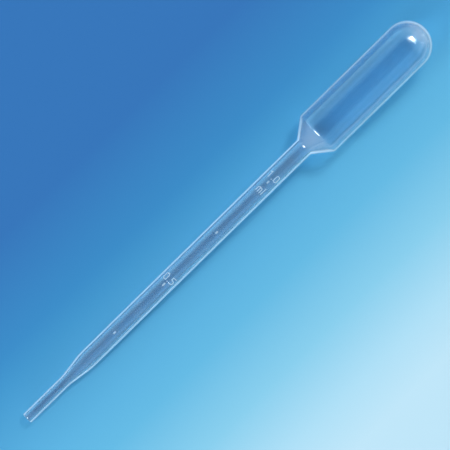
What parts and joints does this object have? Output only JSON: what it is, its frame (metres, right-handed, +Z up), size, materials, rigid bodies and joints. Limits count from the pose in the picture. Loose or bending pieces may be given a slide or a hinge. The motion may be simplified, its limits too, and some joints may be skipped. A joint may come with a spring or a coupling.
{
  "type": "dropper pipette",
  "caption": "Graduated plastic dropper pipette: squeeze bulb, cone, straight stem and drawn tip, blow moulded whole, lying on its side.",
  "frame": {"origin": "on the surface that the pipette lies on, below the middle of its length", "axes": "+X along the pipette from the tip towards the bulb, +Z up; the raised graduation faces +Z, and the pipette's own axis climbs 2.7 degrees towards the bulb"},
  "size_m": [0.1549, 0.014, 0.0156],
  "materials": {
    "ldpe": "natural low-density polyethylene, translucent, with the satin skin of a blow moulding"
  },
  "bodies": {
    "root": {"pipette": "ldpe"}
  },
  "joints": []
}
